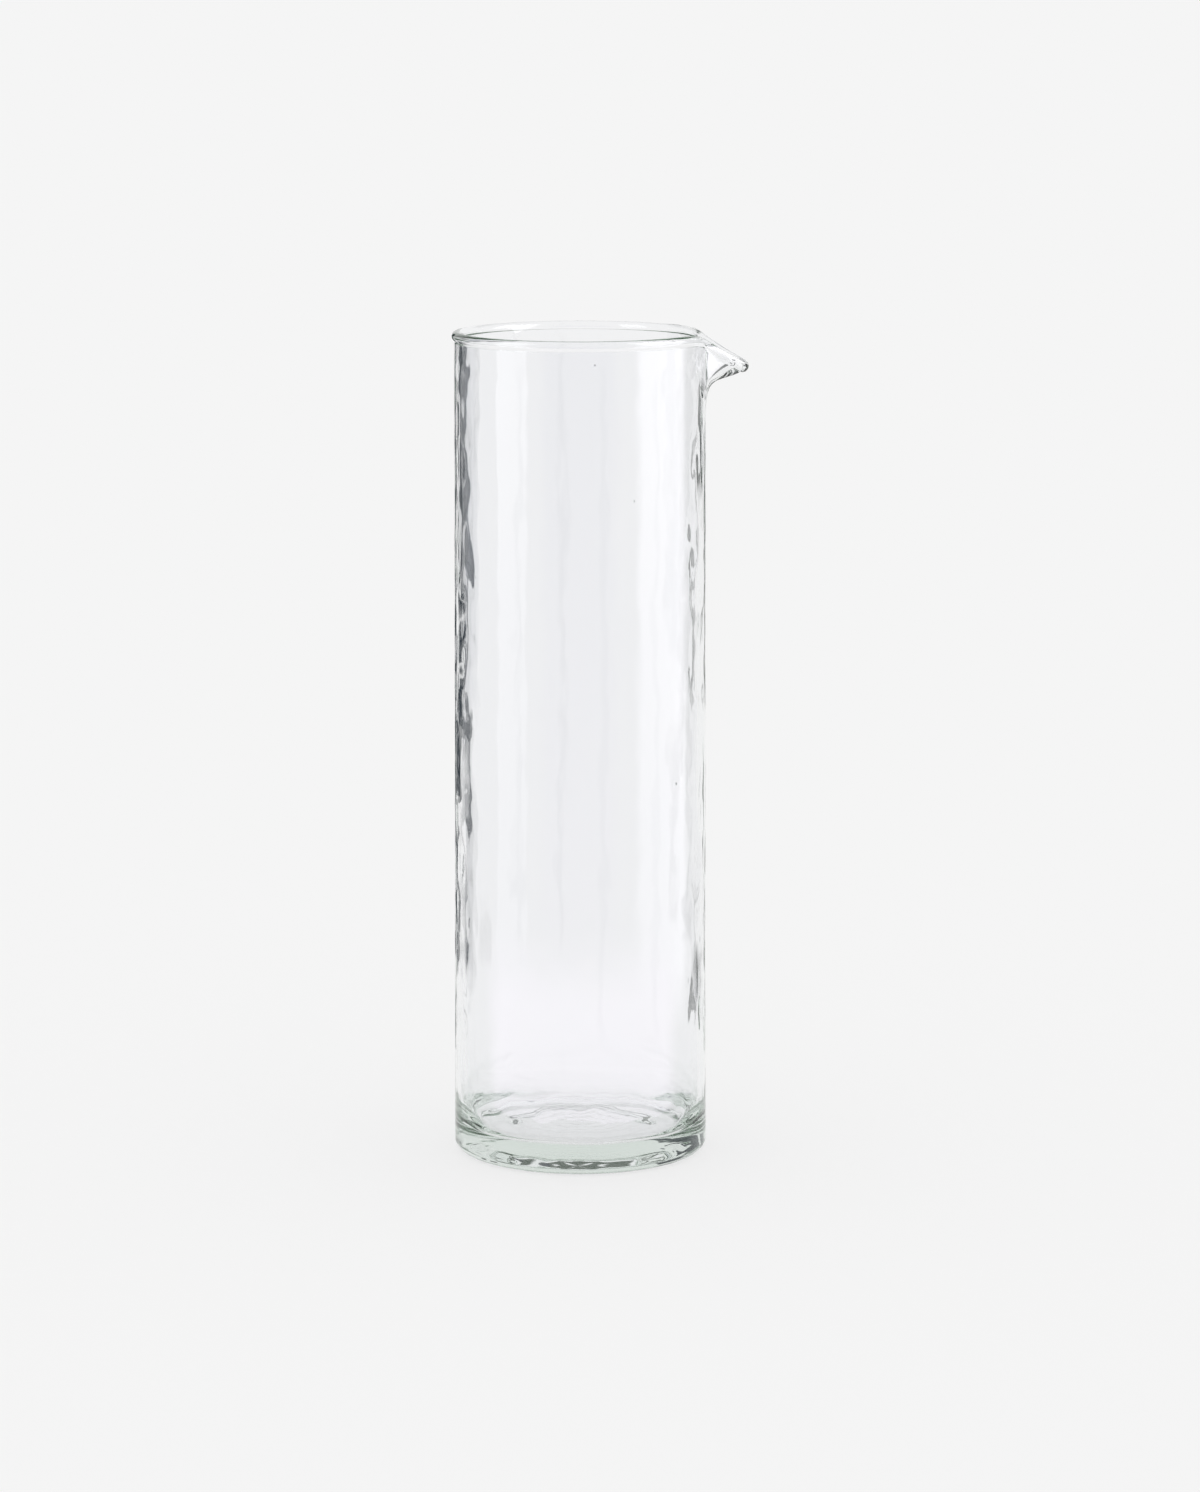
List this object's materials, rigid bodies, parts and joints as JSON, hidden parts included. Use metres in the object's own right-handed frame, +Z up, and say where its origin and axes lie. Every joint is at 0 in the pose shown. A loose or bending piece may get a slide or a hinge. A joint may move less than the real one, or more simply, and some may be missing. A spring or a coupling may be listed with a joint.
{
  "type": "glass pitcher",
  "caption": "Tall, straight-sided clear glass pitcher with a heavy base, a rolled rim and a pulled beak spout; it has no handle and is gripped round the body to pour.",
  "frame": {"origin": "centre of the flat base face, on the axis of the round body, in the plane that the pitcher stands on", "axes": "+Z up along the body's axis to the rim, +X towards the spout, +Y across the spout"},
  "size_m": [0.0924, 0.08, 0.26],
  "materials": {
    "clear_glass": "clear blown glass with a faint green tint in the thick base, softly hammered wall, fire-polished rim"
  },
  "bodies": {
    "root": {"heavy_base": "clear_glass", "body_wall": "clear_glass", "pouring_lip": "clear_glass"}
  },
  "joints": []
}
